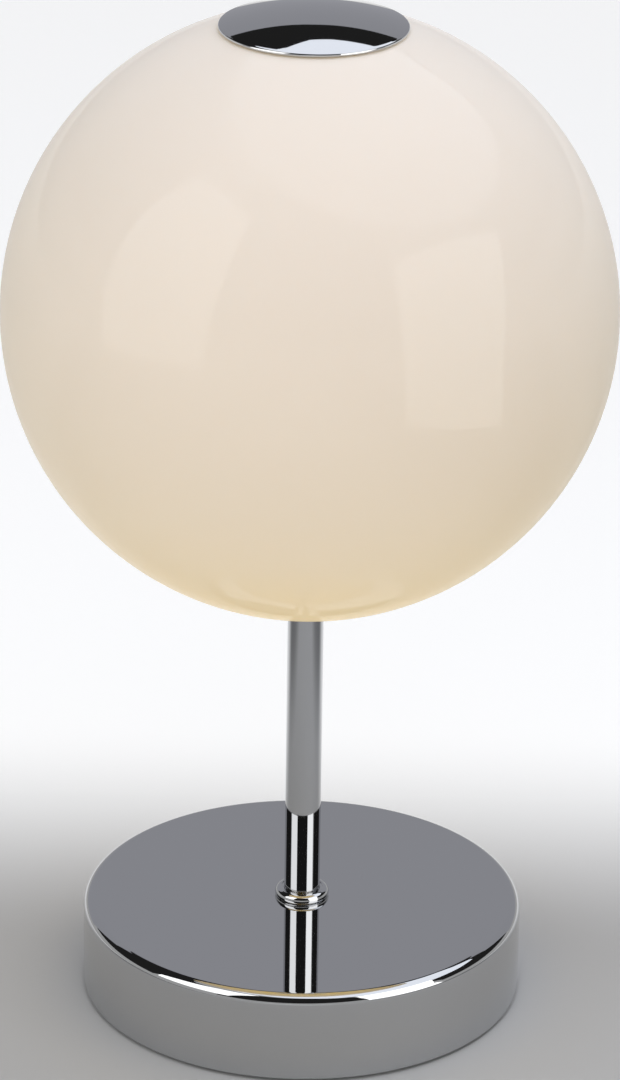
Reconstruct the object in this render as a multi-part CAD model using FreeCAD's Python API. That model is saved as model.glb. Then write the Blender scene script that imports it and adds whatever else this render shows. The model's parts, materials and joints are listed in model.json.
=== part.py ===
"""Glass globe table lamp: an opal glass globe on a slim chromed stem and a heavy chromed base.

Millimetres, +Z up, the front towards -Y. The origin is on the table, under the lamp's own axis.
A threaded tube runs up the middle. Its lower nut clamps the weight and the base cover, its upper
nuts clamp the globe on its seat and the bracket over it, and a push-in capsule bulb stands in the
holder. The cap lifts off the globe's top opening so that a hand can reach the bulb.
"""

import FreeCAD, Part
import math
import os

from FreeCAD import Vector

# Globe
globe_radius = 100.0
globe_wall = 3.0
globe_top_hole = 25.0
globe_bottom_hole = 5.6
glass_edge_round = 1.0

# Base cover, a pressed cup
base_radius = 74.0
base_height = 31.5
base_wall = 1.2
base_edge_round = 3.6
base_rim_height = 1.0

# Base pad and plate
pad_inset = 4.0
pad_thickness = 1.5
pad_edge = 0.4
plate_thickness = 1.2
plate_clearance = 0.5

# Cast weight over the wiring space, and the bosses that carry the plate
weight_clearance = 4.8
wiring_height = 15.1
weight_edge_round = 1.5
boss_radius = 5.0
boss_from_rim = 13.0
boss_angles = (30.0, 150.0, 270.0)

# Plate screws, countersunk
plate_screw_radius = 1.75
plate_screw_head_radius = 2.85
plate_screw_head_height = 1.1
plate_screw_length = 13.0
screw_slot_width = 0.8
screw_slot_depth = 0.6
screw_hole_clearance = 0.2
thread_clearance = 0.05
tapping_extra_depth = 1.5

# Threaded tube up the middle of the lamp
rod_radius = 5.0
rod_bore = 3.9
rod_clearance = 0.1
rod_below_nut = 1.0
rod_above_nut = 1.0
rod_chamfer = 0.4

# Nuts, washers and earth tag on the threaded tube
nut_across_flats = 14.0
nut_height = 3.0
nut_chamfer = 0.8
nut_chamfer_angle = 30.0
base_washer_radius = 16.0
base_washer_thickness = 1.5
tag_radius = 9.0
tag_thickness = 0.8
tag_angle = 75.0
tag_neck_width = 5.0
tag_neck_length = 5.0
tag_barrel_radius = 2.0
tag_barrel_wall = 0.6
tag_barrel_length = 6.0
lock_washer_radius = 8.5
lock_washer_thickness = 1.0
lock_tooth_count = 10
lock_gap_width = 1.6
lock_gap_depth = 1.6

# Stem tube and its collar
stem_length = 107.5
stem_radius = 6.0
stem_wall = 0.9
stem_fit = 0.05
collar_radius = 9.1
collar_height = 3.0
collar_round = 1.9
collar_foot_round = 0.9
collar_step_radius = 6.9
collar_step_depth = 0.4

# Seat, gaskets and clamp washer of the globe
seat_radius = 15.0
seat_foot_radius = 8.0
seat_thickness = 2.4
seat_edge = 0.4
seat_socket_depth = 1.0
gasket_thickness = 0.8
gasket_radius = 13.5
clamp_washer_radius = 13.0
clamp_washer_thickness = 3.2
clamp_washer_edge = 0.6

# Cap over the globe's top opening
cap_radius = 30.1
cap_wall = 0.8
cap_gasket_thickness = 0.5
cap_gasket_width = 3.0
cap_gasket_from_rim = 1.2
cap_rest_gap = 0.3
ring_fit = 0.5
ring_wall = 0.8
ring_depth = 8.0
ring_flange_width = 4.0
ring_slits = 3
ring_slit_width = 2.0
ring_slit_height = 5.0

# Bulb holder, its contacts, bracket and side screws
holder_length = 20.0
holder_width = 16.0
holder_height = 17.0
holder_corner = 3.0
holder_above_nut = 10.5
pin_spacing = 9.0
pin_slot_length = 3.4
pin_slot_width = 2.0
pin_slot_depth = 12.0
contact_wall = 0.3
contact_gap = 1.0
contact_length = 2.6
contact_height = 8.0
bracket_wall = 1.0
bracket_width = 14.0
bracket_clearance = 0.2
bracket_bend = 1.6
bracket_above_screw = 4.0
side_screw_rise = 2.5
side_screw_radius = 1.5
side_screw_head_radius = 2.8
side_screw_head_height = 1.8
side_screw_length = 4.5

# Capsule bulb
bulb_rest_gap = 0.3
bulb_radius = 8.0
bulb_base_step = 0.6
bulb_base_height = 12.0
bulb_base_round = 0.8
bulb_cover_height = 40.0
bulb_cover_wall = 1.0
pin_wire_radius = 0.375
pin_loop_width = 2.0
pin_length = 8.3
board_width = 6.0
board_thickness = 1.2
board_height = 32.0
chip_width = 3.5
chip_height = 2.8
chip_thickness = 0.7
chip_rows = 7

# Inlet bush in the rear wall of the base
inlet_bore = 3.5
inlet_hole = 5.0
inlet_fit = 0.1
inlet_flange_radius = 7.0
inlet_flange_thickness = 1.6
inlet_inner_flange_radius = 6.0
inlet_inner_flange_thickness = 2.0
inlet_edge = 0.5

# Terminal block under the weight
block_pitch = 9.0
block_poles = 3
block_width = 16.0
block_height = 11.0
block_front = 34.0
block_waist = 1.6
insert_radius = 2.2
insert_bore = 1.6
insert_length = 14.0
insert_rise = 4.5
insert_fit = 0.05
terminal_screw_radius = 1.3
terminal_screw_length = 3.0
terminal_screw_spacing = 7.0
block_screw_radius = 1.25
block_screw_head_radius = 2.2
block_screw_head_height = 1.4
block_screw_length = 16.0

# Insulated leads
lead_radius = 1.0
lead_side = 1.7
lead_into_insert = 7.0
lead_into_tag = 4.0
lead_over_plate = 1.5
lead_hole_clearance = 0.2
lead_run_from_block = 9.0
earth_run_from_block = 5.0
earth_run_from_tag = 3.1

# Heights that follow from the sizes above, from the table upwards
plate_foot = pad_thickness
plate_top = plate_foot + plate_thickness
cover_ceiling = base_height - base_wall
weight_foot = plate_top + wiring_height
weight_thickness = cover_ceiling - weight_foot
inlet_height = plate_top + wiring_height / 2
base_washer_foot = weight_foot - base_washer_thickness
tag_foot = base_washer_foot - tag_thickness
lock_washer_foot = tag_foot - lock_washer_thickness
base_nut_foot = lock_washer_foot - nut_height
rod_foot = base_nut_foot - rod_below_nut
insert_axis = weight_foot - block_height + insert_rise
seat_foot = base_height + stem_length
stem_head = seat_foot + seat_socket_depth
seat_ball = globe_radius + gasket_thickness
globe_centre = seat_foot + seat_thickness + seat_ball
glass_inside = globe_radius - globe_wall
clamp_ball = glass_inside - gasket_thickness
clamp_washer_head = globe_centre - clamp_ball + clamp_washer_thickness
clamp_nut_foot = clamp_washer_head
bracket_foot = clamp_nut_foot + nut_height
holder_nut_foot = bracket_foot + bracket_wall
holder_nut_head = holder_nut_foot + nut_height
rod_head = holder_nut_head + rod_above_nut
holder_foot = holder_nut_head + holder_above_nut
holder_head = holder_foot + holder_height
pin_slot_floor = holder_head - pin_slot_depth
side_screw_height = holder_foot + side_screw_rise
bulb_foot = holder_head + bulb_rest_gap
bulb_base_head = bulb_foot + bulb_base_height

# Distances from the lamp's axis and from the globe's centre that follow
rod_hole = rod_radius + rod_clearance
base_inside = base_radius - base_wall
pad_radius = base_radius - pad_inset
weight_radius = base_inside - weight_clearance
boss_circle = weight_radius - boss_from_rim
block_middle = block_front + block_width / 2
bracket_inside = holder_length / 2 + bracket_clearance
bracket_outside = bracket_inside + bracket_wall
gasket_ball = globe_radius + cap_rest_gap
cap_ball_inside = gasket_ball + cap_gasket_thickness
cap_ball = cap_ball_inside + cap_wall

ORIGIN = Vector(0, 0, 0)
UP = Vector(0, 0, 1)
RIGHT = Vector(1, 0, 0)
REARWARD = Vector(0, 1, 0)
TURN = 360.0
ROUND = 1 - math.sqrt(0.5)


def outline(points):
    """Closed face in the plane y = 0. A point is (x, z), and (x, z, "through") is an arc's middle."""
    edges = []
    start = Vector(points[0][0], 0, points[0][1])
    middle = None
    for point in points[1:] + points[:1]:
        here = Vector(point[0], 0, point[1])
        if len(point) == 3:
            middle = here
            continue
        if middle is None:
            edges.append(Part.LineSegment(start, here).toShape())
        else:
            edges.append(Part.Arc(start, middle, here).toShape())
        start = here
        middle = None
    return Part.Face(Part.Wire(edges))


def turned(points):
    """Solid of revolution about the lamp's axis from an outline of radii and heights."""
    return outline(points).revolve(ORIGIN, UP, TURN)


def cylinder(radius, foot, height, x=0.0, y=0.0):
    """Upright cylinder standing at a height."""
    return Part.makeCylinder(radius, height, Vector(x, y, foot))


def ring(inner, outer, foot, height):
    """Flat ring about the lamp's axis."""
    return cylinder(outer, foot, height).cut(cylinder(inner, foot, height))


def polar(radius, degrees, height=0.0):
    """Point at a distance and angle about the lamp's axis."""
    angle = math.radians(degrees)
    return Vector(radius * math.cos(angle), radius * math.sin(angle), height)


def on_ball(ball, radius, side):
    """Outline point on a ball about the globe's centre: side 1 is the upper half, -1 the lower."""
    return (radius, globe_centre + side * math.sqrt(ball * ball - radius * radius))


def through(point):
    """The same outline point, as the middle of an arc."""
    return (point[0], point[1], "through")


def ball_ring(inner_ball, outer_ball, hole, edge, side):
    """Ring of a spherical shell about the globe's centre, between two distances from the axis."""
    half = (hole + edge) / 2
    return turned([
        on_ball(inner_ball, hole, side),
        through(on_ball(inner_ball, half, side)),
        on_ball(inner_ball, edge, side),
        on_ball(outer_ball, edge, side),
        through(on_ball(outer_ball, half, side)),
        on_ball(outer_ball, hole, side),
    ])


def rounded_corner(x, z, radius):
    """Outline points of a quarter round below and inside the corner (x, z), upright run first."""
    return [
        (x, z - radius),
        (x - ROUND * radius, z - ROUND * radius, "through"),
        (x - radius, z),
    ]


def tangent_path(points):
    """Wire along the points and its bend radii. Each corner is an arc as large as its runs allow."""
    edges = []
    radii = []
    start = points[0]
    for before, corner, after in zip(points, points[1:], points[2:]):
        into = (corner - before).normalize()
        out = (after - corner).normalize()
        reach = 0.45 * min((corner - before).Length, (after - corner).Length)
        radius = reach / math.tan(into.getAngle(out) / 2)
        enter = corner - into * reach
        leave = corner + out * reach
        inward = (out - into).normalize()
        middle = corner + inward * (math.hypot(radius, reach) - radius)
        edges.append(Part.LineSegment(start, enter).toShape())
        edges.append(Part.Arc(enter, middle, leave).toShape())
        radii.append(radius)
        start = leave
    edges.append(Part.LineSegment(start, points[-1]).toShape())
    return Part.Wire(edges), radii


def round_lead(points):
    """Insulated lead: a round tube along a path. Its bends and its volume are printed."""
    path, radii = tangent_path(points)
    section = Part.Wire([Part.Circle(points[0], points[1] - points[0], lead_radius).toShape()])
    lead = path.makePipeShell([section], True, False)
    share = lead.Volume / (math.pi * lead_radius ** 2 * path.Length)
    bends = ", ".join(f"{radius:.1f}" for radius in radii)
    print(f"lead: length {path.Length:.1f}, bend radii {bends}, volume over section times length {share:.4f}")
    return lead


# The base, from the table upwards

def base_pad():
    """Foam pad that the lamp stands on, with its lower edge eased."""
    return turned([
        (0, 0),
        (pad_radius - pad_edge, 0),
        (pad_radius, pad_edge),
        (pad_radius, pad_thickness),
        (0, pad_thickness),
    ])


def plate_screw_head(place):
    """Countersunk head at a screw's place. The plate's countersinks are the same cone."""
    return Part.makeCone(plate_screw_head_radius, plate_screw_radius, plate_screw_head_height, place)


def base_plate():
    """Steel plate that closes the base, countersunk for its screws."""
    plate = cylinder(base_inside - plate_clearance, plate_foot, plate_thickness)
    for angle in boss_angles:
        place = polar(boss_circle, angle, plate_foot)
        hole_radius = plate_screw_radius + screw_hole_clearance
        plate = plate.cut(Part.makeCylinder(hole_radius, plate_thickness, place))
        plate = plate.cut(plate_screw_head(place))
    return plate


def plate_screws():
    """Three countersunk screws with a driver slot, up through the plate into the bosses."""
    screws = []
    for angle in boss_angles:
        place = polar(boss_circle, angle, plate_foot)
        shank = Part.makeCylinder(plate_screw_radius - thread_clearance, plate_screw_length, place)
        corner = place - Vector(plate_screw_head_radius, screw_slot_width / 2, 0)
        slot = Part.makeBox(2 * plate_screw_head_radius, screw_slot_width, screw_slot_depth, corner)
        screws.append(plate_screw_head(place).fuse(shank).cut(slot))
    return Part.makeCompound(screws)


def base_cover():
    """Pressed steel cup with a rounded top edge, a centre hole and the inlet hole in its rear wall."""
    cup = turned([
        (rod_hole, cover_ceiling),
        (rod_hole, base_height),
        *reversed(rounded_corner(base_radius, base_height, base_edge_round)),
        (base_radius, base_rim_height),
        (base_inside, base_rim_height),
        *rounded_corner(base_inside, cover_ceiling, base_edge_round - base_wall),
    ])
    start = Vector(0, base_inside - base_edge_round, inlet_height)
    return cup.cut(Part.makeCylinder(inlet_hole, base_wall + 2 * base_edge_round, start, REARWARD))


def inlet_bush():
    """Flanged plastic bush in the rear wall, bored for the supply cable."""
    inner_face = math.sqrt(base_inside ** 2 - inlet_inner_flange_radius ** 2) - inlet_fit
    start = inner_face - inlet_inner_flange_thickness
    end = base_radius + inlet_flange_thickness
    bush = turned([
        (inlet_bore, start),
        (inlet_inner_flange_radius, start),
        (inlet_inner_flange_radius, inner_face),
        (inlet_hole - inlet_fit, inner_face),
        (inlet_hole - inlet_fit, base_radius),
        (inlet_flange_radius, base_radius),
        *rounded_corner(inlet_flange_radius, end, inlet_edge),
        (inlet_bore, end),
    ])
    bush.rotate(ORIGIN, RIGHT, -90)
    bush.translate(Vector(0, 0, inlet_height))
    return bush


def base_weight():
    """Cast iron disc under the cover's top, with three tapped bosses that carry the plate."""
    disc = cylinder(weight_radius, weight_foot, weight_thickness)
    disc = disc.makeFillet(weight_edge_round, [edge for edge in disc.Edges if edge.Closed])
    for angle in boss_angles:
        foot = polar(boss_circle, angle, plate_top)
        disc = disc.fuse(Part.makeCylinder(boss_radius, weight_foot - plate_top + weight_edge_round, foot))
    tapped = plate_screw_length - plate_thickness + tapping_extra_depth
    for angle in boss_angles:
        disc = disc.cut(Part.makeCylinder(plate_screw_radius, tapped, polar(boss_circle, angle, plate_top)))
    disc = disc.cut(cylinder(rod_hole, weight_foot, weight_thickness))
    screw_tapped = block_screw_length - block_height + tapping_extra_depth
    disc = disc.cut(cylinder(block_screw_radius + thread_clearance, weight_foot, screw_tapped,
                             block_pitch / 2, block_middle))
    return disc.removeSplitter()


def base_washer():
    """Broad steel washer that spreads the nut's pull under the weight."""
    return ring(rod_hole, base_washer_radius, base_washer_foot, base_washer_thickness)


def tag_barrel_height():
    """Height of the axis of the earth tag's crimped barrel."""
    return tag_foot + tag_barrel_wall - tag_barrel_radius


def tag_barrel_start():
    """Distance from the lamp's axis at which the earth tag's barrel starts."""
    return tag_radius + tag_neck_length - tag_barrel_wall


def earth_tag():
    """Earth ring under the washer, with a neck out to a crimped barrel for the earth lead."""
    tag = cylinder(tag_radius, tag_foot, tag_thickness)
    corner = Vector(0, -tag_neck_width / 2, tag_foot)
    tag = tag.fuse(Part.makeBox(tag_radius + tag_neck_length, tag_neck_width, tag_thickness, corner))
    tag = tag.cut(cylinder(rod_hole, tag_foot, tag_thickness))
    start = Vector(tag_barrel_start(), 0, tag_barrel_height())
    barrel = Part.makeCylinder(tag_barrel_radius, tag_barrel_length, start, RIGHT)
    bore = Part.makeCylinder(tag_barrel_radius - tag_barrel_wall, tag_barrel_length, start, RIGHT)
    tag = tag.fuse(barrel).cut(bore).removeSplitter()
    tag.rotate(ORIGIN, UP, tag_angle)
    return tag


def lock_washer():
    """Toothed lock washer between the earth tag and the nut."""
    washer = ring(rod_hole, lock_washer_radius, lock_washer_foot, lock_washer_thickness)
    for k in range(lock_tooth_count):
        corner = Vector(lock_washer_radius - lock_gap_depth, -lock_gap_width / 2, lock_washer_foot)
        gap = Part.makeBox(2 * lock_gap_depth, lock_gap_width, lock_washer_thickness, corner)
        gap.rotate(ORIGIN, UP, k * TURN / lock_tooth_count)
        washer = washer.cut(gap)
    return washer


def pipe_nut(foot):
    """Flat hexagon nut of the threaded tube, chamfered on both faces."""
    corner = nut_across_flats / math.sqrt(3)
    hexagon = Part.makePolygon([polar(corner, 60 * k, foot) for k in range(7)])
    prism = Part.Face(hexagon).extrude(Vector(0, 0, nut_height))
    flat = corner - nut_chamfer
    drop = nut_chamfer * math.tan(math.radians(nut_chamfer_angle))
    head = foot + nut_height
    blank = turned([
        (0, foot),
        (flat, foot),
        (corner, foot + drop),
        (corner, head - drop),
        (flat, head),
        (0, head),
    ])
    return prism.common(blank).cut(cylinder(rod_radius + thread_clearance, foot, nut_height))


def pipe_nuts():
    """The three nuts of the threaded tube: under the base, on the globe and on the bracket."""
    return Part.makeCompound([pipe_nut(foot) for foot in (base_nut_foot, clamp_nut_foot, holder_nut_foot)])


def pole_places():
    """Places of the terminal block's poles across the lamp."""
    return [(k - (block_poles - 1) / 2) * block_pitch for k in range(block_poles)]


def terminal_screw_places():
    """Place and rearward distance of each terminal screw, two to a pole."""
    rows = (block_middle - terminal_screw_spacing / 2, block_middle + terminal_screw_spacing / 2)
    return [(x, y) for x in pole_places() for y in rows]


def terminal_block():
    """Three-pole terminal block hung under the weight, waisted between its poles."""
    length = block_poles * block_pitch
    foot = weight_foot - block_height
    block = Part.makeBox(length, block_width, block_height, Vector(-length / 2, block_front, foot))
    for x, following in zip(pole_places(), pole_places()[1:]):
        for y in (block_front, block_front + block_width):
            block = block.cut(cylinder(block_waist, foot, block_height, (x + following) / 2, y))
    for x in pole_places():
        start = Vector(x, block_front, insert_axis)
        block = block.cut(Part.makeCylinder(insert_radius + insert_fit, block_width, start, REARWARD))
    for x, y in terminal_screw_places():
        block = block.cut(cylinder(terminal_screw_radius + screw_hole_clearance, foot, insert_rise, x, y))
    hole_radius = block_screw_radius + thread_clearance
    return block.cut(cylinder(hole_radius, foot, block_height, block_pitch / 2, block_middle))


def terminal_inserts():
    """Brass clamping tubes of the terminal block, tapped from below for two screws each."""
    inserts = []
    for x in pole_places():
        start = Vector(x, block_middle - insert_length / 2, insert_axis)
        tube = Part.makeCylinder(insert_radius, insert_length, start, REARWARD)
        tube = tube.cut(Part.makeCylinder(insert_bore, insert_length, start, REARWARD))
        for place, y in terminal_screw_places():
            if place == x:
                hole = cylinder(terminal_screw_radius + thread_clearance, insert_axis - insert_rise,
                                insert_rise, x, y)
                tube = tube.cut(hole)
        inserts.append(tube)
    return Part.makeCompound(inserts)


def terminal_screws():
    """Slotted grub screws that clamp the wires in the inserts."""
    head = insert_axis - lead_radius - thread_clearance
    foot = head - terminal_screw_length
    screws = []
    for x, y in terminal_screw_places():
        corner = Vector(x - terminal_screw_radius, y - screw_slot_width / 2, foot)
        slot = Part.makeBox(2 * terminal_screw_radius, screw_slot_width, screw_slot_depth, corner)
        screws.append(cylinder(terminal_screw_radius, foot, terminal_screw_length, x, y).cut(slot))
    return Part.makeCompound(screws)


def block_screw():
    """Slotted screw that holds the terminal block to the weight."""
    x = block_pitch / 2
    seat = weight_foot - block_height
    foot = seat - block_screw_head_height
    head = cylinder(block_screw_head_radius, foot, block_screw_head_height, x, block_middle)
    corner = Vector(x - block_screw_head_radius, block_middle - screw_slot_width / 2, foot)
    slot = Part.makeBox(2 * block_screw_head_radius, screw_slot_width, screw_slot_depth, corner)
    shank = cylinder(block_screw_radius, seat, block_screw_length, x, block_middle)
    return head.cut(slot).fuse(shank)


# The stem

def threaded_tube():
    """Steel tube with an outside thread, from under the base up into the globe."""
    edge = rod_radius - rod_chamfer
    return turned([
        (rod_bore, rod_foot),
        (edge, rod_foot),
        (rod_radius, rod_foot + rod_chamfer),
        (rod_radius, rod_head - rod_chamfer),
        (edge, rod_head),
        (rod_bore, rod_head),
    ])


def stem_tube():
    """Polished tube from the base cover's top up into the seat of the globe."""
    return ring(stem_radius - stem_wall, stem_radius, base_height, stem_head - base_height)


def stem_collar():
    """Turned bead round the foot of the stem, round above and below, with a small step at the stem."""
    head = base_height + collar_height
    under = ROUND * collar_foot_round
    return turned([
        (stem_radius + stem_fit, base_height),
        (collar_radius - collar_foot_round, base_height),
        (collar_radius - under, base_height + under, "through"),
        (collar_radius, base_height + collar_foot_round),
        *rounded_corner(collar_radius, head, collar_round),
        (collar_step_radius, head),
        (collar_step_radius, head - collar_step_depth),
        (stem_radius + stem_fit, head - collar_step_depth),
    ])


# The globe and what clamps it

def globe_seat():
    """Turned dish under the globe, with a socket for the stem."""
    rim = on_ball(seat_ball, seat_radius, -1)
    return turned([
        (rod_hole, stem_head),
        (stem_radius + stem_fit, stem_head),
        (stem_radius + stem_fit, seat_foot),
        (seat_foot_radius, seat_foot),
        (seat_radius, rim[1] - seat_edge),
        rim,
        through(on_ball(seat_ball, (seat_radius + rod_hole) / 2, -1)),
        on_ball(seat_ball, rod_hole, -1),
    ])


def lower_gasket():
    """Silicone ring between the seat and the glass."""
    return ball_ring(globe_radius, seat_ball, rod_hole, gasket_radius, -1)


def globe_glass():
    """Blown opal globe with a small hole below and a wide one on top, their edges fire-polished."""
    glass = turned([
        on_ball(globe_radius, globe_bottom_hole, -1),
        (globe_radius, globe_centre, "through"),
        on_ball(globe_radius, globe_top_hole, 1),
        on_ball(glass_inside, globe_top_hole, 1),
        (glass_inside, globe_centre, "through"),
        on_ball(glass_inside, globe_bottom_hole, -1),
    ])
    rims = [edge for edge in glass.Edges
            if edge.Closed and edge.BoundBox.XLength < 2 * globe_top_hole + 1 and edge.BoundBox.ZLength < 0.1]
    return glass.makeFillet(glass_edge_round, rims)


def upper_gasket():
    """Silicone ring between the glass and the clamp washer."""
    return ball_ring(clamp_ball, glass_inside, rod_hole, gasket_radius, -1)


def clamp_washer():
    """Turned washer inside the globe, domed below to lie on its gasket."""
    return turned([
        on_ball(clamp_ball, rod_hole, -1),
        through(on_ball(clamp_ball, (rod_hole + clamp_washer_radius) / 2, -1)),
        on_ball(clamp_ball, clamp_washer_radius, -1),
        (clamp_washer_radius, clamp_washer_head - clamp_washer_edge),
        (clamp_washer_radius - clamp_washer_edge, clamp_washer_head),
        (rod_hole, clamp_washer_head),
    ])


# The cap

def globe_cap():
    """Pressed chromed dome that follows the globe, with a round edge."""
    edge_ball = (cap_ball_inside + cap_ball) / 2
    edge = cap_radius - cap_wall / 2
    lean = edge / edge_ball
    drop = math.sqrt(1 - lean * lean)
    tip = on_ball(edge_ball, edge, 1)
    return turned([
        (0, globe_centre + cap_ball_inside),
        through(on_ball(cap_ball_inside, edge / 2, 1)),
        (lean * cap_ball_inside, globe_centre + drop * cap_ball_inside),
        (tip[0] + drop * cap_wall / 2, tip[1] - lean * cap_wall / 2, "through"),
        (lean * cap_ball, globe_centre + drop * cap_ball),
        through(on_ball(cap_ball, edge / 2, 1)),
        (0, globe_centre + cap_ball),
    ])


def cap_gasket():
    """Clear silicone ring in the cap, which lies on the glass."""
    edge = cap_radius - cap_gasket_from_rim
    return ball_ring(gasket_ball, cap_ball_inside, edge - cap_gasket_width, edge, 1)


def cap_ring():
    """Spring ring in the cap that centres it in the opening, slit from below."""
    outside = globe_top_hole - ring_fit
    inside = outside - ring_wall
    hole = inside - ring_flange_width
    under_ball = cap_ball_inside - ring_wall
    foot = on_ball(globe_radius, globe_top_hole, 1)[1] - ring_depth
    shape = turned([
        on_ball(cap_ball_inside, hole, 1),
        through(on_ball(cap_ball_inside, (hole + outside) / 2, 1)),
        on_ball(cap_ball_inside, outside, 1),
        (outside, foot),
        (inside, foot),
        on_ball(under_ball, inside, 1),
        through(on_ball(under_ball, (hole + inside) / 2, 1)),
        on_ball(under_ball, hole, 1),
    ])
    for k in range(ring_slits):
        corner = Vector(0, -ring_slit_width / 2, foot)
        slit = Part.makeBox(globe_top_hole, ring_slit_width, ring_slit_height, corner)
        slit.rotate(ORIGIN, UP, k * TURN / ring_slits)
        shape = shape.cut(slit)
    return shape


# The bulb holder

def holder_bracket():
    """Bent steel strip: a foot on the threaded tube and an arm up each side of the holder."""
    head = side_screw_height + bracket_above_screw
    strip = Part.makeBox(2 * bracket_outside, bracket_width, head - bracket_foot,
                         Vector(-bracket_outside, -bracket_width / 2, bracket_foot))
    hollow = Part.makeBox(2 * bracket_inside, bracket_width, head - holder_nut_foot,
                          Vector(-bracket_inside, -bracket_width / 2, holder_nut_foot))
    bends = [edge for edge in strip.Edges
             if edge.BoundBox.YLength > bracket_width - 1 and edge.BoundBox.ZMax < bracket_foot + 1]
    strip = strip.makeFillet(bracket_bend, bends)
    inner_bends = [edge for edge in hollow.Edges
                   if edge.BoundBox.YLength > bracket_width - 1 and edge.BoundBox.ZMax < holder_nut_foot + 1]
    hollow = hollow.makeFillet(bracket_bend - bracket_wall, inner_bends)
    strip = strip.cut(hollow).cut(cylinder(rod_hole, bracket_foot, bracket_wall))
    start = Vector(-bracket_outside, 0, side_screw_height)
    hole_radius = side_screw_radius + screw_hole_clearance
    return strip.cut(Part.makeCylinder(hole_radius, 2 * bracket_outside, start, RIGHT))


def side_screws():
    """Two slotted screws through the bracket's arms into the holder."""
    head = Part.makeCylinder(side_screw_head_radius, side_screw_head_height,
                             Vector(bracket_outside, 0, side_screw_height), RIGHT)
    shank = Part.makeCylinder(side_screw_radius - thread_clearance, side_screw_length,
                              Vector(bracket_outside - side_screw_length, 0, side_screw_height), RIGHT)
    corner = Vector(bracket_outside + side_screw_head_height - screw_slot_depth, -side_screw_head_radius,
                    side_screw_height - screw_slot_width / 2)
    slot = Part.makeBox(screw_slot_depth, 2 * side_screw_head_radius, screw_slot_width, corner)
    right = head.fuse(shank).cut(slot)
    left = right.copy()
    left.rotate(ORIGIN, UP, TURN / 2)
    return Part.makeCompound([right, left])


def pin_places():
    """Places of the bulb's two pins across the lamp."""
    return (-pin_spacing / 2, pin_spacing / 2)


def lamp_holder():
    """Ceramic bulb holder: two pin slots on top, lead holes below and a tapped hole in each end."""
    corner = Vector(-holder_length / 2, -holder_width / 2, holder_foot)
    body = Part.makeBox(holder_length, holder_width, holder_height, corner)
    upright = [edge for edge in body.Edges if edge.BoundBox.ZLength > holder_height - 1]
    body = body.makeFillet(holder_corner, upright)
    for x in pin_places():
        corner = Vector(x - pin_slot_length / 2, -pin_slot_width / 2, pin_slot_floor)
        body = body.cut(Part.makeBox(pin_slot_length, pin_slot_width, pin_slot_depth, corner))
        lead_hole = cylinder(lead_radius + lead_hole_clearance, holder_foot, pin_slot_floor - holder_foot, x)
        body = body.cut(lead_hole)
    depth = side_screw_length - bracket_wall
    for side in (-1, 1):
        start = Vector(side * holder_length / 2, 0, side_screw_height)
        body = body.cut(Part.makeCylinder(side_screw_radius, depth, start, RIGHT * -side))
    return body


def holder_contacts():
    """Sprung contact clips that grip the bulb's pins."""
    width = contact_gap + 2 * contact_wall
    clips = []
    for x in pin_places():
        corner = Vector(x - contact_length / 2, -width / 2, pin_slot_floor)
        clip = Part.makeBox(contact_length, width, contact_height, corner)
        gap_corner = Vector(x - contact_length / 2, -contact_gap / 2, pin_slot_floor + contact_wall)
        clips.append(clip.cut(Part.makeBox(contact_length, contact_gap, contact_height, gap_corner)))
    return Part.makeCompound(clips)


# The bulb

def bulb_base():
    """Moulded base of the capsule bulb."""
    radius = bulb_radius - bulb_base_step
    return turned([
        (0, bulb_foot),
        (radius - bulb_base_round, bulb_foot),
        (radius, bulb_foot + bulb_base_round),
        (radius, bulb_base_head),
        (0, bulb_base_head),
    ])


def bulb_pins():
    """Two wire loops under the bulb's base."""
    half = pin_loop_width / 2
    foot = bulb_foot - pin_length + pin_wire_radius
    loops = []
    for x in pin_places():
        left = Vector(x - half, 0, bulb_foot)
        right = Vector(x + half, 0, bulb_foot)
        left_low = Vector(x - half, 0, foot + half)
        right_low = Vector(x + half, 0, foot + half)
        path = Part.Wire([
            Part.LineSegment(left, left_low).toShape(),
            Part.Arc(left_low, Vector(x, 0, foot), right_low).toShape(),
            Part.LineSegment(right_low, right).toShape(),
        ])
        section = Part.Wire([Part.Circle(left, UP, pin_wire_radius).toShape()])
        loops.append(path.makePipeShell([section], True, False))
    return Part.makeCompound(loops)


def bulb_cover():
    """Thin translucent cover of the bulb, with a round top."""
    inside = bulb_radius - bulb_cover_wall
    head = bulb_base_head + bulb_cover_height
    spring = head - bulb_radius
    slant = math.sqrt(0.5)
    return turned([
        (inside, bulb_base_head),
        (bulb_radius, bulb_base_head),
        (bulb_radius, spring),
        (slant * bulb_radius, spring + slant * bulb_radius, "through"),
        (0, head),
        (0, head - bulb_cover_wall),
        (slant * inside, spring + slant * inside, "through"),
        (inside, spring),
    ])


def led_board():
    """Circuit board upright on the bulb's base."""
    corner = Vector(-board_width / 2, -board_thickness / 2, bulb_base_head)
    return Part.makeBox(board_width, board_thickness, board_height, corner)


def led_chips():
    """Light-emitting chips, a column of them on each side of the board."""
    pitch = board_height / chip_rows
    chips = []
    for row in range(chip_rows):
        foot = bulb_base_head + (row + 0.5) * pitch - chip_height / 2
        for y in (board_thickness / 2, -board_thickness / 2 - chip_thickness):
            corner = Vector(-chip_width / 2, y, foot)
            chips.append(Part.makeBox(chip_width, chip_thickness, chip_height, corner))
    return Part.makeCompound(chips)


# The leads

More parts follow.
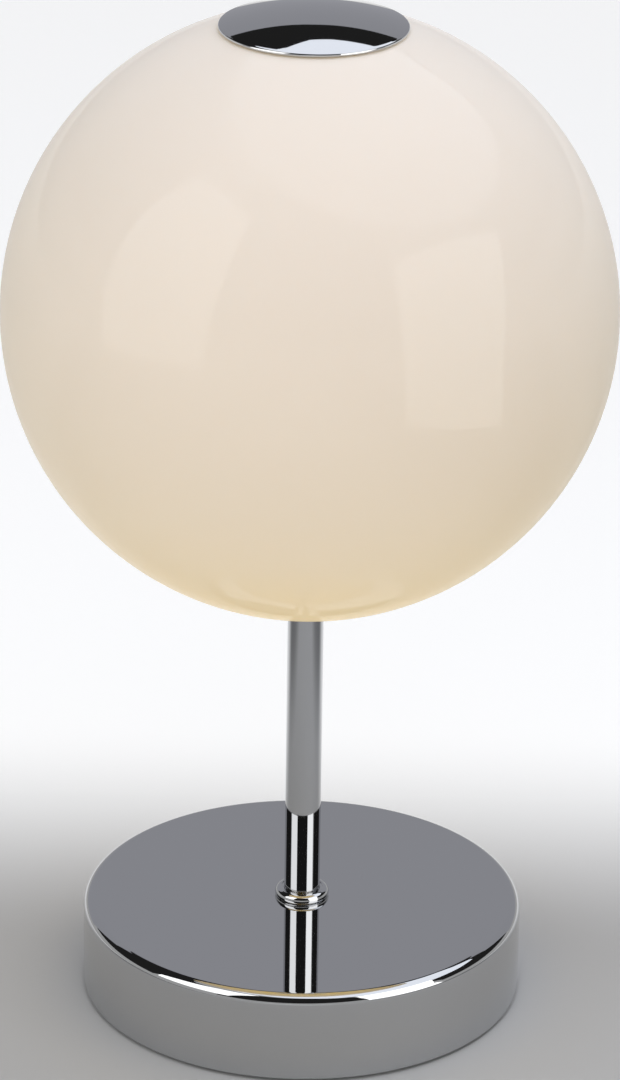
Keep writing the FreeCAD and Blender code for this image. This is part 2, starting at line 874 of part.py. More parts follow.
def supply_lead(pole_x, side_x):
    """Lead from a terminal pole under the weight, up the threaded tube, to its holder contact."""
    low = plate_top + lead_over_plate + lead_radius
    bend_y = block_front - lead_run_from_block
    contact_x = math.copysign(pin_spacing / 2, side_x)
    return round_lead([
        Vector(pole_x, block_front + lead_into_insert, insert_axis),
        Vector(pole_x, bend_y, insert_axis),
        Vector((pole_x + side_x) / 2, bend_y / 2, low),
        Vector(side_x, 0, low),
        Vector(side_x, 0, rod_head + rod_above_nut),
        Vector(contact_x, 0, holder_foot - rod_above_nut),
        Vector(contact_x, 0, pin_slot_floor),
    ])


def line_lead():
    """Lead of the left pole."""
    return supply_lead(pole_places()[0], -lead_side)


def neutral_lead():
    """Lead of the middle pole."""
    return supply_lead(pole_places()[1], lead_side)


def earth_lead():
    """Short lead from the right pole to the barrel of the earth tag."""
    x = pole_places()[2]
    height = tag_barrel_height()
    mouth = tag_barrel_start() + tag_barrel_length
    return round_lead([
        Vector(x, block_front + lead_into_insert, insert_axis),
        Vector(x, block_front - earth_run_from_block, insert_axis),
        polar(mouth + earth_run_from_tag, tag_angle, height),
        polar(mouth - lead_into_tag, tag_angle, height),
    ])


SUBPARTS = (
    base_pad, base_plate, plate_screws, base_cover, inlet_bush, base_weight, base_washer, earth_tag,
    lock_washer, pipe_nuts, terminal_block, terminal_inserts, terminal_screws, block_screw,
    threaded_tube, stem_tube, stem_collar, globe_seat, lower_gasket, globe_glass, upper_gasket,
    clamp_washer, globe_cap, cap_gasket, cap_ring, holder_bracket, side_screws, lamp_holder,
    holder_contacts, bulb_base, bulb_pins, bulb_cover, led_board, led_chips, line_lead,
    neutral_lead, earth_lead,
)

os.makedirs("parts", exist_ok=True)
for subpart in SUBPARTS:
    shape = subpart()
    shape.exportStep(f"parts/{subpart.__name__}.step")
    print(f"{subpart.__name__}: solids {len(shape.Solids)}, volume {shape.Volume:.1f}, {shape.isValid()}")
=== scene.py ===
"""Looks of a glass globe table lamp: opal glass ball, chromed cap, slim chromed stem, heavy chromed base.

Objects are in metres, +Z up, the front towards -Y. The lamp's sizes are named in millimetres, and mm
turns them into metres. The sections follow the lamp as it is put together, from the pad under the
base to the cap on the globe, and the table and the studio round it come last.
"""

import json
import math

import bmesh
import bpy
import numpy as np
from mathutils import Matrix, Vector

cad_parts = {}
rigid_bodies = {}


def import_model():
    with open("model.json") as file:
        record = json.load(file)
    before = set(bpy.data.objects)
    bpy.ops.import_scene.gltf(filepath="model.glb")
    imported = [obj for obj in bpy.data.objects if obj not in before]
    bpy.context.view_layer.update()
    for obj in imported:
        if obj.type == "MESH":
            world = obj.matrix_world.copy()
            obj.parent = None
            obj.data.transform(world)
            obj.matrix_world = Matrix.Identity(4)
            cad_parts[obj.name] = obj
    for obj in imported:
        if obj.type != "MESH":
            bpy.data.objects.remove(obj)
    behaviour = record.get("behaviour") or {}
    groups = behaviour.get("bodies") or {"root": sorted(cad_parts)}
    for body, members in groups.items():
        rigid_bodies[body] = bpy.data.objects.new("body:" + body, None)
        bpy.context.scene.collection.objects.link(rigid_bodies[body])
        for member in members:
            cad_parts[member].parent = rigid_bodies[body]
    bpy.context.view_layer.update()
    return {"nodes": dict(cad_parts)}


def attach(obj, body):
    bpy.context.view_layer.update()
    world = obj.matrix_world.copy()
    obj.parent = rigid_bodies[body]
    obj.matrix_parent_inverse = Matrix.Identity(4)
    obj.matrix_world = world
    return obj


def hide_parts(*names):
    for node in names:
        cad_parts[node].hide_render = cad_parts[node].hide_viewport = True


for leftover in list(bpy.data.objects):
    bpy.data.objects.remove(leftover)

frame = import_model()
nodes = frame["nodes"]
mm = 0.001


# Base pad: a disc of closed-cell foam rubber, die-cut and glued under the bottom plate.
# It shows only as the dark line between the chromed rim and the table.

def tools(tree):
    """Returns two helpers for a node tree. The first adds a node with its settings and its inputs,
    which are values or sockets to join. The second joins two sockets."""
    def add(kind, inputs=None, **settings):
        made = tree.nodes.new(kind)
        for key, value in settings.items():
            setattr(made, key, value)
        for key, value in (inputs or {}).items():
            if isinstance(value, bpy.types.NodeSocket):
                tree.links.new(value, made.inputs[key])
            else:
                made.inputs[key].default_value = value
        return made
    return add, tree.links.new


def maths(add, operation, *values):
    """The result of a Math node on one or two values or sockets."""
    return add("ShaderNodeMath", dict(enumerate(values)), operation=operation).outputs[0]


def new_group(name, inputs, outputs):
    """An empty shader node group with named sockets.
    Returns it, its adder, its joiner and its two end nodes."""
    group = bpy.data.node_groups.new(name, "ShaderNodeTree")
    for way, sockets in (("INPUT", inputs), ("OUTPUT", outputs)):
        for label, kind, start in sockets:
            socket = group.interface.new_socket(label, in_out=way, socket_type="NodeSocket" + kind)
            if start is not None:
                socket.default_value = start
    add, join = tools(group)
    return group, add, join, add("NodeGroupInput"), add("NodeGroupOutput")


# Grain: a fine noise that darkens the colour a little in its pits, and the height of the same noise.
grain, add, join, given, result = new_group(
    "grain",
    [
        ("Color", "Color", (0.5, 0.5, 0.5, 1)),
        ("Grains per metre", "Float", 1500.0),
        ("Contrast", "Float", 0.3),
    ],
    [("Color", "Color", None), ("Height", "Float", None)],
)
place = add("ShaderNodeTexCoord")
noise = add("ShaderNodeTexNoise", {
    "Vector": place.outputs["Object"], "Scale": given.outputs["Grains per metre"],
    "Detail": 5.0, "Roughness": 0.6,
})
pits = add("ShaderNodeMapRange", {"Value": noise.outputs["Fac"], "From Min": 0.35, "From Max": 0.65})
darkest = maths(add, "SUBTRACT", 1.0, given.outputs["Contrast"])
share = add("ShaderNodeMapRange", {"Value": pits.outputs["Result"], "To Min": darkest, "To Max": 1.0})
tone = add("ShaderNodeVectorMath", {0: given.outputs["Color"], "Scale": share.outputs["Result"]},
           operation="SCALE")
join(tone.outputs["Vector"], result.inputs["Color"])
join(pits.outputs["Result"], result.inputs["Height"])


def shader_of(finish):
    """The Principled shader of a finish."""
    return finish.node_tree.nodes["Principled BSDF"]


def new_finish(name, colour=(1, 1, 1), metallic=0.0, **sockets):
    """A material with a Principled shader. Extra words are the shader's sockets, with _ for a space."""
    finish = bpy.data.materials.new(name)
    finish.use_nodes = True
    inputs = shader_of(finish).inputs
    inputs["Base Color"].default_value = (*colour, 1)
    inputs["Metallic"].default_value = metallic
    for key, value in sockets.items():
        inputs[key.replace("_", " ")].default_value = value
    return finish


def with_grain(finish, per_metre, contrast, depth):
    """Runs the grain group into the finish's colour and, as a bump of that depth in metres, its normal."""
    add, join = tools(finish.node_tree)
    inputs = shader_of(finish).inputs
    colour = tuple(inputs["Base Color"].default_value)
    texture = add("ShaderNodeGroup", {"Color": colour, "Grains per metre": per_metre, "Contrast": contrast},
                  node_tree=grain)
    bump = add("ShaderNodeBump", {"Height": texture.outputs["Height"], "Distance": depth, "Strength": 1.0})
    join(texture.outputs["Color"], inputs["Base Color"])
    join(bump.outputs["Normal"], inputs["Normal"])


def wear(finish, *names):
    """Gives the finish to CAD nodes."""
    for name in names:
        for slot in nodes[name].material_slots:
            slot.material = finish


foam = new_finish("black foam rubber", (0.025, 0.025, 0.026), Roughness=0.9)
with_grain(foam, per_metre=2600, contrast=0.6, depth=0.1 * mm)
wear(foam, "base_pad")


# Bottom plate, screws, washers and nuts: steel with a bright zinc plate, stamped or turned.
# The plate is screwed to three bosses of the weight, and the nuts sit on the threaded tube.
# The cap's spring ring and the bulb holder's bracket are plated in the same way.

# Haze: slow cloudy changes between two roughnesses, as handling and polishing leave on a smooth surface.
haze, add, join, given, result = new_group(
    "haze",
    [("Clouds per metre", "Float", 60.0), ("Least", "Float", 0.05), ("Most", "Float", 0.1)],
    [("Roughness", "Float", None)],
)
place = add("ShaderNodeTexCoord")
noise = add("ShaderNodeTexNoise", {
    "Vector": place.outputs["Object"], "Scale": given.outputs["Clouds per metre"], "Detail": 3.0,
})
spread = add("ShaderNodeMapRange", {
    "Value": noise.outputs["Fac"], "From Min": 0.3, "From Max": 0.7,
    "To Min": given.outputs["Least"], "To Max": given.outputs["Most"],
})
join(spread.outputs["Result"], result.inputs["Roughness"])


def with_haze(finish, per_metre, least, most):
    """Runs the haze group into the finish's roughness."""
    add, join = tools(finish.node_tree)
    texture = add("ShaderNodeGroup", {"Clouds per metre": per_metre, "Least": least, "Most": most},
                  node_tree=haze)
    join(texture.outputs["Roughness"], shader_of(finish).inputs["Roughness"])


zinc = new_finish("bright zinc plate", (0.6, 0.61, 0.62), metallic=1.0)
with_grain(zinc, per_metre=900, contrast=0.12, depth=0.004 * mm)
with_haze(zinc, per_metre=350, least=0.16, most=0.32)
wear(zinc, "base_plate", "plate_screws", "base_washer", "lock_washer", "pipe_nuts", "terminal_screws",
     "block_screw", "cap_ring", "holder_bracket", "side_screws", "threaded_tube")


# Cast weight: grey iron from a sand mould, painted black, with three bosses for the plate's screws.
# The lamp's nut clamps it up against the cover.

iron = new_finish("black paint on cast iron", (0.03, 0.03, 0.032), Roughness=0.45)
with_grain(iron, per_metre=420, contrast=0.35, depth=0.25 * mm)
wear(iron, "base_weight")


# Terminal block: three brass inserts in white nylon, under the weight, where the cord's wires end.
# The bulb's base is moulded from the same nylon.

nylon = new_finish("white nylon", (0.8, 0.8, 0.77), Roughness=0.35)
with_grain(nylon, per_metre=1200, contrast=0.05, depth=0.02 * mm)
wear(nylon, "terminal_block", "bulb_base")

brass = new_finish("turned brass", (0.72, 0.5, 0.2), metallic=1.0)
with_grain(brass, per_metre=1500, contrast=0.15, depth=0.003 * mm)
with_haze(brass, per_metre=300, least=0.2, most=0.35)
wear(brass, "terminal_inserts")


# Earth tag and spring contacts: tinned copper strip, folded cold. The bulb's pins are tinned too.
# The tag is held between the broad washer and the toothed one, under the weight.

tin = new_finish("tinned copper", (0.7, 0.69, 0.66), metallic=1.0)
with_grain(tin, per_metre=1100, contrast=0.15, depth=0.004 * mm)
with_haze(tin, per_metre=400, least=0.22, most=0.4)
wear(tin, "earth_tag", "holder_contacts", "bulb_pins")


# Leads: silicone-insulated wire. Brown and blue run up the tube to the bulb holder, and a short
# green one joins the terminal block to the tag.

for name, colour in (
    ("line_lead", (0.2, 0.09, 0.04)),
    ("neutral_lead", (0.04, 0.12, 0.42)),
    ("earth_lead", (0.16, 0.42, 0.06)),
):
    silicone = new_finish(name.replace("_", " ") + " insulation", colour, Roughness=0.5)
    with_grain(silicone, per_metre=1800, contrast=0.12, depth=0.01 * mm)
    wear(silicone, name)


# Inlet bush: a snap-in bush of moulded black nylon, where the cord comes in.
# It lines the hole in the base's rear wall.

bush = new_finish("black nylon", (0.02, 0.02, 0.021), Roughness=0.4)
with_grain(bush, per_metre=1500, contrast=0.3, depth=0.03 * mm)
wear(bush, "inlet_bush")


# Base cover: sheet steel pressed into a shallow cup, its edge turned down round a form, polished
# and chromium plated. The stem's tube holds it down on the cast weight, and the bush sits in a
# round hole in its rear wall.

chrome_colour = (0.565, 0.57, 0.577)

chrome = new_finish("polished chromium plate", chrome_colour, metallic=1.0)
with_haze(chrome, per_metre=45, least=0.015, most=0.035)


def rounded(corners, steps=12, guard=0.04):
    """A closed outline in metres from corners (r, z, round) in millimetres.
    Each corner becomes an arc tangent to its two sides: centre at round / sin(half angle) along the bisector.
    A guard point just off each end of the arc keeps the straight sides flat in the shading."""
    runs = []
    for i, (r, z, size) in enumerate(corners):
        here = np.array([r, z])
        if size == 0:
            runs.append(here[None])
            continue
        back = np.array(corners[i - 1][:2]) - here
        on = np.array(corners[(i + 1) % len(corners)][:2]) - here
        back, on = back / np.linalg.norm(back), on / np.linalg.norm(on)
        half = np.arccos(np.clip(back @ on, -1, 1)) / 2
        reach = size / np.tan(half)
        middle = here + (back + on) / np.linalg.norm(back + on) * size / np.sin(half)
        start = here + back * reach - middle
        end = here + on * reach - middle
        sweep = np.sign(start[0] * end[1] - start[1] * end[0]) * (np.pi - 2 * half)
        turn = np.linspace(0, sweep, steps + 1)
        arc = middle + np.stack([start[0] * np.cos(turn) - start[1] * np.sin(turn),
                                 start[0] * np.sin(turn) + start[1] * np.cos(turn)], 1)
        runs.append(np.vstack([here + back * (reach + guard), arc, here + on * (reach + guard)]))
    return np.vstack(runs) * mm


def spun(name, outline, finish, slot, body, *stands_for, steps=360):
    """A piece turned about the lamp's axis from a closed outline (r, z).
    Point i at step j is (r cos t, r sin t, z) with t = 2 pi j / steps, and points on the axis merge
    into a pole."""
    t = np.linspace(0, 2 * np.pi, steps, endpoint=False)
    r, z = outline[:, :1], outline[:, 1:]
    points = np.stack([r * np.cos(t), r * np.sin(t), np.broadcast_to(z, (len(z), steps))], -1).reshape(-1, 3)
    i, j = np.meshgrid(np.arange(len(outline)), np.arange(steps), indexing="ij")
    i2, j2 = (i + 1) % len(outline), (j + 1) % steps
    faces = np.stack([i * steps + j, i2 * steps + j, i2 * steps + j2, i * steps + j2], -1).reshape(-1, 4)
    mesh = bpy.data.meshes.new(name)
    mesh.from_pydata(points, [], faces.tolist())
    shell = bmesh.new()
    shell.from_mesh(mesh)
    bmesh.ops.remove_doubles(shell, verts=shell.verts, dist=1e-7)
    bmesh.ops.recalc_face_normals(shell, faces=shell.faces)
    shell.to_mesh(mesh)
    shell.free()
    mesh.shade_smooth()
    mesh.materials.append(finish)
    piece = bpy.data.objects.new(name, mesh)
    bpy.context.scene.collection.objects.link(piece)
    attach(piece, body)
    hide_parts(*stands_for)
    return piece


rod_hole = 5.1
base_foot, base_ceiling, base_top = 1.0, 30.3, 31.5
base_radius, base_inside, base_wall, base_round = 74.0, 72.8, 1.2, 3.6
hole_edge, foot_edge = 0.1, 0.4

# A line of points above the inlet hole and one below it keep the cut's triangles between them.
above_inlet, below_inlet = 17.3, 3.2

cover = spun("pressed_cover", rounded([
    (rod_hole, base_ceiling, hole_edge),
    (rod_hole, base_top, hole_edge),
    (base_radius, base_top, base_round),
    (base_radius, above_inlet, 0.0),
    (base_radius, below_inlet, 0.0),
    (base_radius, base_foot, foot_edge),
    (base_inside, base_foot, foot_edge),
    (base_inside, base_ceiling, base_round - base_wall),
]), chrome, "chrome", "lamp", "base_cover")

# The inlet hole is cut with a cylinder, and its edge is kept sharp so the wall beside it stays smooth.
inlet_height, inlet_radius, drill_length = 10.25 * mm, 5.0 * mm, 8.0 * mm
sharp_angle = math.radians(50)
inlet_place = Matrix.Translation((0, base_radius * mm, inlet_height)) @ Matrix.Rotation(math.pi / 2, 4, "X")

cutter_mesh = bpy.data.meshes.new("inlet_cutter")
drill = bmesh.new()
bmesh.ops.create_cone(drill, cap_ends=True, segments=64, radius1=inlet_radius, radius2=inlet_radius,
                      depth=drill_length, matrix=inlet_place)
drill.to_mesh(cutter_mesh)
drill.free()
cutter = bpy.data.objects.new("inlet_cutter", cutter_mesh)
bpy.context.scene.collection.objects.link(cutter)
cut = cover.modifiers.new("inlet hole", "BOOLEAN")
cut.operation, cut.object, cut.solver = "DIFFERENCE", cutter, "EXACT"
ready = bpy.data.meshes.new_from_object(cover.evaluated_get(bpy.context.evaluated_depsgraph_get()))
cover.modifiers.clear()
cover.data = ready
bpy.data.objects.remove(cutter)
ready.shade_smooth()
ready.set_sharp_from_angle(angle=sharp_angle)


# Stem: a drawn steel tube, 12 mm across, polished and chromium plated, that stands on the base cover.
# The threaded tube inside pulls the globe's seat down on it.

stem_inside, stem_radius, stem_head = 5.1, 6.0, 140.0
stem_inner_edge, stem_outer_edge = 0.15, 0.2

spun("drawn_stem", rounded([
    (stem_inside, base_top, stem_inner_edge),
    (stem_inside, stem_head, stem_inner_edge),
    (stem_radius, stem_head, stem_outer_edge),
    (stem_radius, base_top, stem_outer_edge),
]), chrome, "chrome", "lamp", "stem_tube", steps=160)


# Stem collar: a small turned ring with a round shoulder, polished and chromium plated.
# It is slipped over the stem, and hides the stem's foot.

collar_hole, collar_radius, collar_height = 6.05, 9.1, 3.0
collar_foot_round, collar_shoulder = 0.9, 1.9
recess_radius, recess_depth = 6.9, 0.4
recess_rim, collar_hole_edge = 0.2, 0.1
collar_head = base_top + collar_height
recess_floor = collar_head - recess_depth

spun("turned_collar", rounded([
    (collar_hole, base_top, collar_hole_edge),
    (collar_radius, base_top, collar_foot_round),
    (collar_radius, collar_head, collar_shoulder),
    (recess_radius, collar_head, recess_rim),
    (recess_radius, recess_floor, collar_hole_edge),
    (collar_hole, recess_floor, collar_hole_edge),
]), chrome, "chrome", "lamp", "stem_collar", steps=200)


# Globe seat: a turned dish on the stem's head, polished and chromium plated.
# The globe rests in it on a silicone gasket.

wear(chrome, "globe_seat")


# Gaskets: rings of clear silicone between metal and glass.
# Two of them hold the globe's foot, under and over the glass, and one lies under the cap.

gasket = new_finish("clear silicone", (0.8, 0.8, 0.78), Roughness=0.35, Transmission_Weight=0.6)
with_grain(gasket, per_metre=900, contrast=0.05, depth=0.01 * mm)
wear(gasket, "lower_gasket", "upper_gasket", "cap_gasket")


# Globe: opal glass, blown in a mould, glossy outside and in. White all through, so light soaks into it.
# Its two openings have fire-polished lips: a small one on the seat and a wide one under the cap.

globe_centre, globe_radius, globe_inside = 242.2, 100.0, 97.0
globe_top_hole, globe_bottom_hole = 25.0, 5.6
bulb_middle, painted_glow_reach = 197.0, 43.0

opal_colour = (0.794, 0.745, 0.712)
painted_glow_colour, inner_glow_colour = (1.0, 0.65, 0.03), (1.0, 0.87, 0.64)

opal = new_finish(
    "opal glass", opal_colour, IOR=1.5, Specular_IOR_Level=0.0,
    Subsurface_Weight=1.0, Subsurface_Radius=(1.0, 1.0, 1.0), Subsurface_Scale=0.0025,
    Coat_Weight=0.37, Coat_Roughness=0.01, Coat_IOR=1.5, Emission_Strength=1.0,
)
with_haze(opal, per_metre=30, least=0.04, most=0.07)

# The glass carries a painted glow, an emission that stands in for the lit bulb's light shining through it. It
# is weak and warm, and falls with the square of the distance from the bulb. The glass takes the blue out of
# it, so it is paler on the inner side of the wall.
add, join = tools(opal.node_tree)
spot = add("ShaderNodeTexCoord").outputs["Object"]
from_bulb = add("ShaderNodeVectorMath", {0: spot, 1: (0, 0, bulb_middle * mm)}, operation="DISTANCE")
nearness = maths(add, "DIVIDE", painted_glow_reach * mm, from_bulb.outputs["Value"])
strength = maths(add, "POWER", nearness, 2.0)
from_centre = add("ShaderNodeVectorMath", {0: spot, 1: (0, 0, globe_centre * mm)}, operation="DISTANCE")
within = maths(add, "LESS_THAN", from_centre.outputs["Value"], (globe_radius + globe_inside) / 2 * mm)
tint = add("ShaderNodeMix", {"Factor": within, "A": (*painted_glow_colour, 1), "B": (*inner_glow_colour, 1)},
           data_type="RGBA")
painted_glow = add("ShaderNodeVectorMath", {0: tint.outputs["Result"], "Scale": strength}, operation="SCALE")
join(painted_glow.outputs["Vector"], shader_of(opal).inputs["Emission Color"])

lip_points = 17


def ball_arc(middle, radius, start, end, steps):
    """Outline points (r, z) in metres on a ball round the lamp's axis.
    r = radius sin p and z = middle + radius cos p, with p in radians from start to end."""
    p = np.linspace(start, end, steps)
    return np.stack([radius * np.sin(p), middle + radius * np.cos(p)], 1) * mm


def glass_outline(top_hole, bottom_hole):
    """The globe's wall: an arc on the outer ball, a half circle over each lip, and an arc on the inner ball.
    A lip's middle lies on the ball halfway through the wall, half a wall outside the opening."""
    lip = (globe_radius - globe_inside) / 2
    middle_ball = globe_radius - lip
    top = math.asin((top_hole + lip) / middle_ball)
    bottom = math.pi - math.asin((bottom_hole + lip) / middle_ball)
    half_turn = np.linspace(0, np.pi, lip_points)[1:-1]
    over_top = top - half_turn
    under = bottom + half_turn

    def lip_arc(p, lean):
        """Points at the angles lean on a circle round the lip's middle, which lies at the angle p."""
        r = middle_ball * math.sin(p) + lip * np.sin(lean)
        z = globe_centre + middle_ball * math.cos(p) + lip * np.cos(lean)
        return np.stack([r, z], 1) * mm

    return np.vstack([
        ball_arc(globe_centre, globe_radius, bottom, top, steps=240),
        lip_arc(top, over_top),
        ball_arc(globe_centre, globe_inside, top, bottom, steps=120),
        lip_arc(bottom, under[::-1]),
    ])


spun("blown_globe", glass_outline(globe_top_hole, globe_bottom_hole), opal, "opal_glass", "lamp",
     "globe_glass", steps=240)


# Clamp washer: a disc of turned aluminium inside the globe.
# Its nut presses it, and the upper gasket under it, on the glass.

aluminium = new_finish("turned aluminium", (0.74, 0.75, 0.76), metallic=1.0)
with_grain(aluminium, per_metre=1200, contrast=0.1, depth=0.004 * mm)
with_haze(aluminium, per_metre=500, least=0.2, most=0.35)
wear(aluminium, "clamp_washer")


# Bulb holder: pressed steatite, unglazed.
# Two side screws hold it in a bracket of zinc-plated strip.

steatite = new_finish("steatite", (0.82, 0.8, 0.74), Roughness=0.75)
with_grain(steatite, per_metre=1600, contrast=0.1, depth=0.05 * mm)
wear(steatite, "lamp_holder")


# Bulb: a capsule of milky plastic over a small board with yellow light-emitting chips.
# Its two pins push into the holder's contacts.

milky = new_finish("milky polycarbonate", (0.88, 0.88, 0.85), Roughness=0.35, Subsurface_Weight=1.0,
                   Subsurface_Scale=0.002, Emission_Color=(*inner_glow_colour, 1), Emission_Strength=0.8)
with_grain(milky, per_metre=700, contrast=0.03, depth=0.005 * mm)
wear(milky, "bulb_cover")

board = new_finish("white board", (0.82, 0.83, 0.8), Roughness=0.4)
with_grain(board, per_metre=1400, contrast=0.06, depth=0.01 * mm)
wear(board, "led_board")

phosphor = new_finish("yellow phosphor", (0.85, 0.62, 0.12), Roughness=0.55)
with_grain(phosphor, per_metre=2500, contrast=0.2, depth=0.02 * mm)
wear(phosphor, "led_chips")


# Globe cap: a shallow dome pressed from steel sheet, chromium plated, that covers the globe's top opening.
# It lies loose on a clear gasket, and a slit spring ring under it centres it.

cap_outside, cap_inside, cap_radius = 101.6, 100.8, 30.4
rim_round, rim_lip = 0.74, math.radians(0.75)


def dome_outline():
    """The cap's wall: an arc on the outer ball from the pole, a half circle round the rolled rim, and
    an arc back inside. The rim is thicker than the sheet: its middle lies one rim radius inside the
    outer ball, and the inner arc starts a little short of it."""
    rim_ball = cap_outside - rim_round
    edge = math.asin((cap_radius - rim_round) / rim_ball)
    lean = edge + np.linspace(0, np.pi, lip_points)[1:]
    r = rim_ball * math.sin(edge) + rim_round * np.sin(lean)
    z = globe_centre + rim_ball * math.cos(edge) + rim_round * np.cos(lean)
    return np.vstack([
        ball_arc(globe_centre, cap_outside, 0, edge, steps=60),
        np.stack([r, z], 1) * mm,
        ball_arc(globe_centre, cap_inside, edge - rim_lip, 0, steps=40),
    ])


spun("pressed_cap", dome_outline(), chrome, "chrome", "cap", "globe_cap", steps=240)


# Table: a wide sheet of paper, matt, whose colour carries painted shade round the lamp in place of the lamp's
# own shadow: a light grey round the lamp, which the chrome picks up, darker beside it, and white in front.
# Behind the lamp it is also lit, for the camera and for what is seen in metal and glass, so that it turns
# white there.

table_half, table_height = 9.0, -0.2 * mm
shaded_near_tone, front_tone, shaded_side_share, rear_light = 0.56, 0.95, 0.5, 0.58

# Where the painted shade on the paper changes, in metres from the lamp's axis.
front_start, front_end = -0.36, -0.55
side_start, side_end = 0.17, 0.3
side_return, side_far = 0.9, 1.8
rear_start, rear_end = 0.02, 0.2

table_corners = [
    (x * table_half, y * table_half, table_height) for x, y in ((-1, -1), (1, -1), (1, 1), (-1, 1))
]
table_mesh = bpy.data.meshes.new("table_top")
table_mesh.from_pydata(table_corners, [], [(0, 1, 2, 3)])
table = bpy.data.objects.new("table_top", table_mesh)
bpy.context.scene.collection.objects.link(table)

paper = new_finish("paper with painted shade", Roughness=0.9, Specular_IOR_Level=0.2, Emission_Color=(1, 1, 1, 1))
add, join = tools(paper.node_tree)


def eased(add, value, start, end, at_start, at_end):
    """A smooth step from at_start, where the value is at the start, to at_end, where it is at the end."""
    step = add("ShaderNodeMapRange", {
        "Value": value, "From Min": start, "From Max": end, "To Min": at_start, "To Max": at_end,
    }, interpolation_type="SMOOTHSTEP")
    return step.outputs["Result"]


place = add("ShaderNodeTexCoord")
apart = add("ShaderNodeSeparateXYZ", {0: place.outputs["Object"]})
aside = maths(add, "ABSOLUTE", apart.outputs["X"])
# Painted shade: light grey round the lamp, darker beside it, and white further in front and far to the sides.
tone = eased(add, apart.outputs["Y"], front_start, front_end, shaded_near_tone, front_tone)
near_side = eased(add, aside, side_start, side_end, 1.0, shaded_side_share)
side = eased(add, aside, side_return, side_far, near_side, 1.0)
behind = eased(add, apart.outputs["Y"], rear_start, rear_end, 0.0, 1.0)
sight = add("ShaderNodeLightPath").outputs
seen = maths(add, "MAXIMUM", sight["Is Camera Ray"], sight["Is Glossy Ray"])
seen = maths(add, "MAXIMUM", seen, sight["Is Transmission Ray"])
lit = maths(add, "MULTIPLY", seen, behind)
join(maths(add, "MULTIPLY", tone, side), shader_of(paper).inputs["Base Color"])
join(maths(add, "MULTIPLY", lit, rear_light), shader_of(paper).inputs["Emission Strength"])
table_mesh.materials.append(paper)


# Studio: a pale room with two soft boxes at the sides and one overhead, and grey and dark cards that
# the chrome mirrors. The side boxes and the front card are only seen as reflections, the fill in front
# only gives light, and the camera sees none of them.

globe_middle = Vector((0, 0, globe_centre * mm))


def direction(azimuth, elevation):
    """Unit direction from angles in degrees: azimuth 0 is the front, -Y, and 90 is to the right, +X."""
    a, e = math.radians(azimuth), math.radians(elevation)
    return (math.sin(a) * math.cos(e), -math.cos(a) * math.cos(e), math.sin(e))


def studio_panel(name, corners, distance, radiance, tint=(1, 1, 1)):
    """A flat-coloured panel: a fan of triangles round its middle. Its corners are (azimuth, elevation)
    in degrees, seen from the globe's centre, and all lie at the same distance from it."""
    mesh = bpy.data.meshes.new(name)
    rays = [Vector(direction(*corner)) for corner in corners]
    hub = sum(rays, Vector()).normalized()
    points = [globe_middle + distance * ray for ray in [hub, *rays]]
    count = len(rays)
    mesh.from_pydata(points, [], [(0, 1 + i, 1 + (i + 1) % count) for i in range(count)])
    panel = bpy.data.objects.new(name, mesh)
    bpy.context.scene.collection.objects.link(panel)
    cloth = bpy.data.materials.new(name)
    cloth.use_nodes = True
    add, join = tools(cloth.node_tree)
    light = add("ShaderNodeEmission", {"Color": (*tint, 1), "Strength": radiance})
    join(light.outputs["Emission"], cloth.node_tree.nodes["Material Output"].inputs["Surface"])
    mesh.materials.append(cloth)
    panel.visible_camera = False
    return panel


def card(name, left, right, foot, head, distance, radiance, tint=(1, 1, 1)):
    """A card that spans the azimuths from left to right between the elevations foot and head, all in
    degrees. The head may be seven elevations from left to right."""
    across = np.linspace(left, right, 7)
    heads = np.broadcast_to(head, 7)
    below = [(a, foot) for a in across]
    above = list(zip(across[::-1], heads[::-1]))
    return studio_panel(name, below + above, distance, radiance, tint)


left_radiance, right_radiance, side_box_distance = 2.1, 2.4, 0.55
left_corners = [(-68, 53), (-29, 49), (-35, -1), (-73, -4), (-78, 14), (-78, 31), (-74, 43)]
right_corners = [(33, 34), (55, 35), (81, 28), (72, 11), (67, -5), (70, -24), (32, -18), (31, 13)]
left_box = studio_panel("left_soft_box", left_corners, side_box_distance, left_radiance)
right_box = studio_panel("right_soft_box", right_corners, side_box_distance, right_radiance)

overhead_radiance, overhead_distance, overhead_tint = 1.35, 1.1, (0.96, 1.0, 1.09)
overhead_rear_edge = [
    (199, 48), (196, 52), (189, 52), (181, 48), (175, 47), (166, 46), (161, 45), (160, 39), (149, 41),
]
overhead_sides_and_front = [
    (139, 38), (124, 34), (105, 33), (80, 35), (52, 42), (24, 49), (-13, 60), (-57, 67), (-101, 68),
    (-136, 60),
]
studio_panel("overhead_soft_box", overhead_rear_edge + overhead_sides_and_front, overhead_distance,
             overhead_radiance, overhead_tint)

dark, card_distance = 0.02, 3.5
front_card = card("front_dark_card", -42, 34, foot=9, head=62, distance=card_distance, radiance=dark)
for unlit in (left_box, right_box, front_card):
    unlit.visible_diffuse = False

fill_radiance, fill_distance = 1.15, 2.6
fill = card("front_fill", -100, 40, foot=-6, head=42, distance=fill_distance, radiance=fill_radiance)
fill.visible_glossy = False

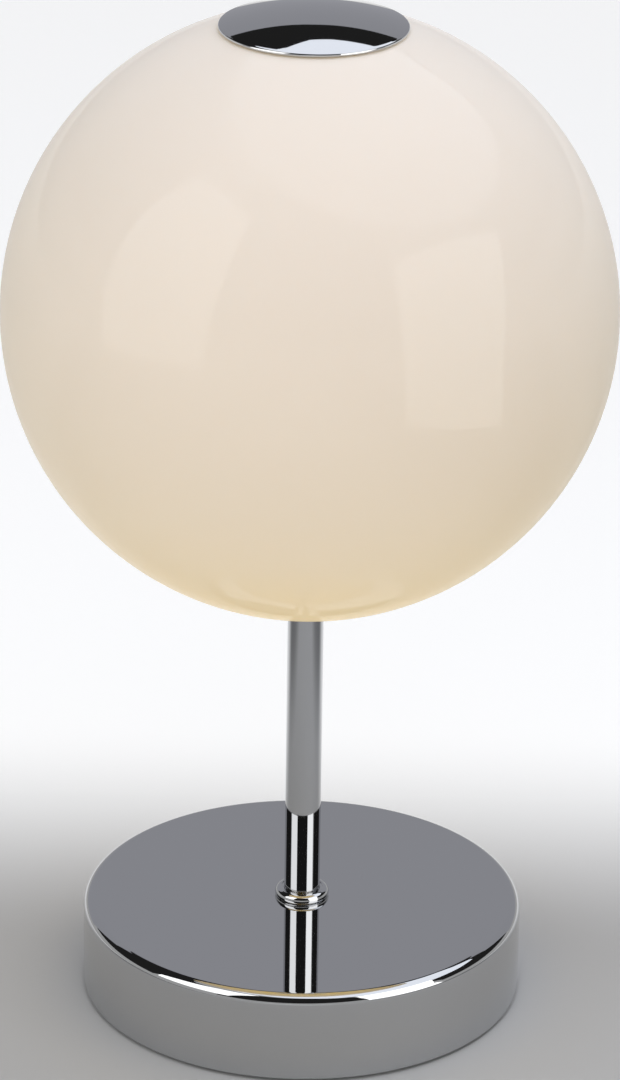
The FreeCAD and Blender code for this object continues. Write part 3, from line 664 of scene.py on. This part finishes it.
# The grey card's uneven upper edge stands in front of the dark one.
rear_grey, rear_tint, rear_heads = 0.385, (0.99, 1.0, 1.09), (31, 39, 33, 35, 33, 39, 31)
rear_grey_distance, rear_dark_distance = 1.6, 1.75
card("rear_grey_card", 130, 230, foot=2, head=rear_heads, distance=rear_grey_distance, radiance=rear_grey,
     tint=rear_tint)
card("rear_dark_card", 130, 230, foot=30, head=60, distance=rear_dark_distance, radiance=dark)
card("left_dark_card", -136, -80, foot=14, head=62, distance=card_distance, radiance=dark)
card("right_dark_card", 76, 134, foot=12, head=62, distance=card_distance, radiance=dark)

# The room gives more light than its reflection in metal and glass shows.
room_light, room_reflection = 0.75, 0.5
world = bpy.data.worlds.new("pale room")
bpy.context.scene.world = world
world.use_nodes = True
add, join = tools(world.node_tree)
sight = add("ShaderNodeLightPath").outputs
room_strength = add("ShaderNodeMapRange", {
    "Value": sight["Is Glossy Ray"], "To Min": room_light, "To Max": room_reflection,
})
room = world.node_tree.nodes["Background"]
room.inputs["Color"].default_value = (1, 1, 1, 1)
join(room_strength.outputs["Result"], room.inputs["Strength"])


# Camera: a long lens from the front and above, with a slight roll, as in the photograph.
# It is aimed at a point on the lamp's axis, and then moved a millimetre to its right.

camera_distance = 1.69
camera_elevation = math.radians(23.35)
camera_roll = math.radians(0.82)
camera_aside, aim_height = 1.06 * mm, 162.0 * mm
focal_length, sensor_width, farthest_seen = 171.2, 36.0, 60.0

aim = Vector((0, 0, aim_height))
ahead = Vector((0, math.cos(camera_elevation), -math.sin(camera_elevation)))
sideways = Vector((1, 0, 0))
upward = sideways.cross(ahead)
right = math.cos(camera_roll) * sideways + math.sin(camera_roll) * upward
up = math.cos(camera_roll) * upward - math.sin(camera_roll) * sideways
lens = bpy.data.cameras.new("camera")
lens.sensor_fit = "AUTO"
lens.sensor_width = sensor_width
lens.lens = focal_length
lens.clip_end = farthest_seen
camera = bpy.data.objects.new("camera", lens)
bpy.context.scene.collection.objects.link(camera)
turn = Matrix((right, up, -ahead)).transposed().to_4x4()
camera.matrix_world = Matrix.Translation(aim - camera_distance * ahead + camera_aside * right) @ turn
bpy.context.scene.camera = camera
bpy.context.scene.view_settings.view_transform = "Standard"
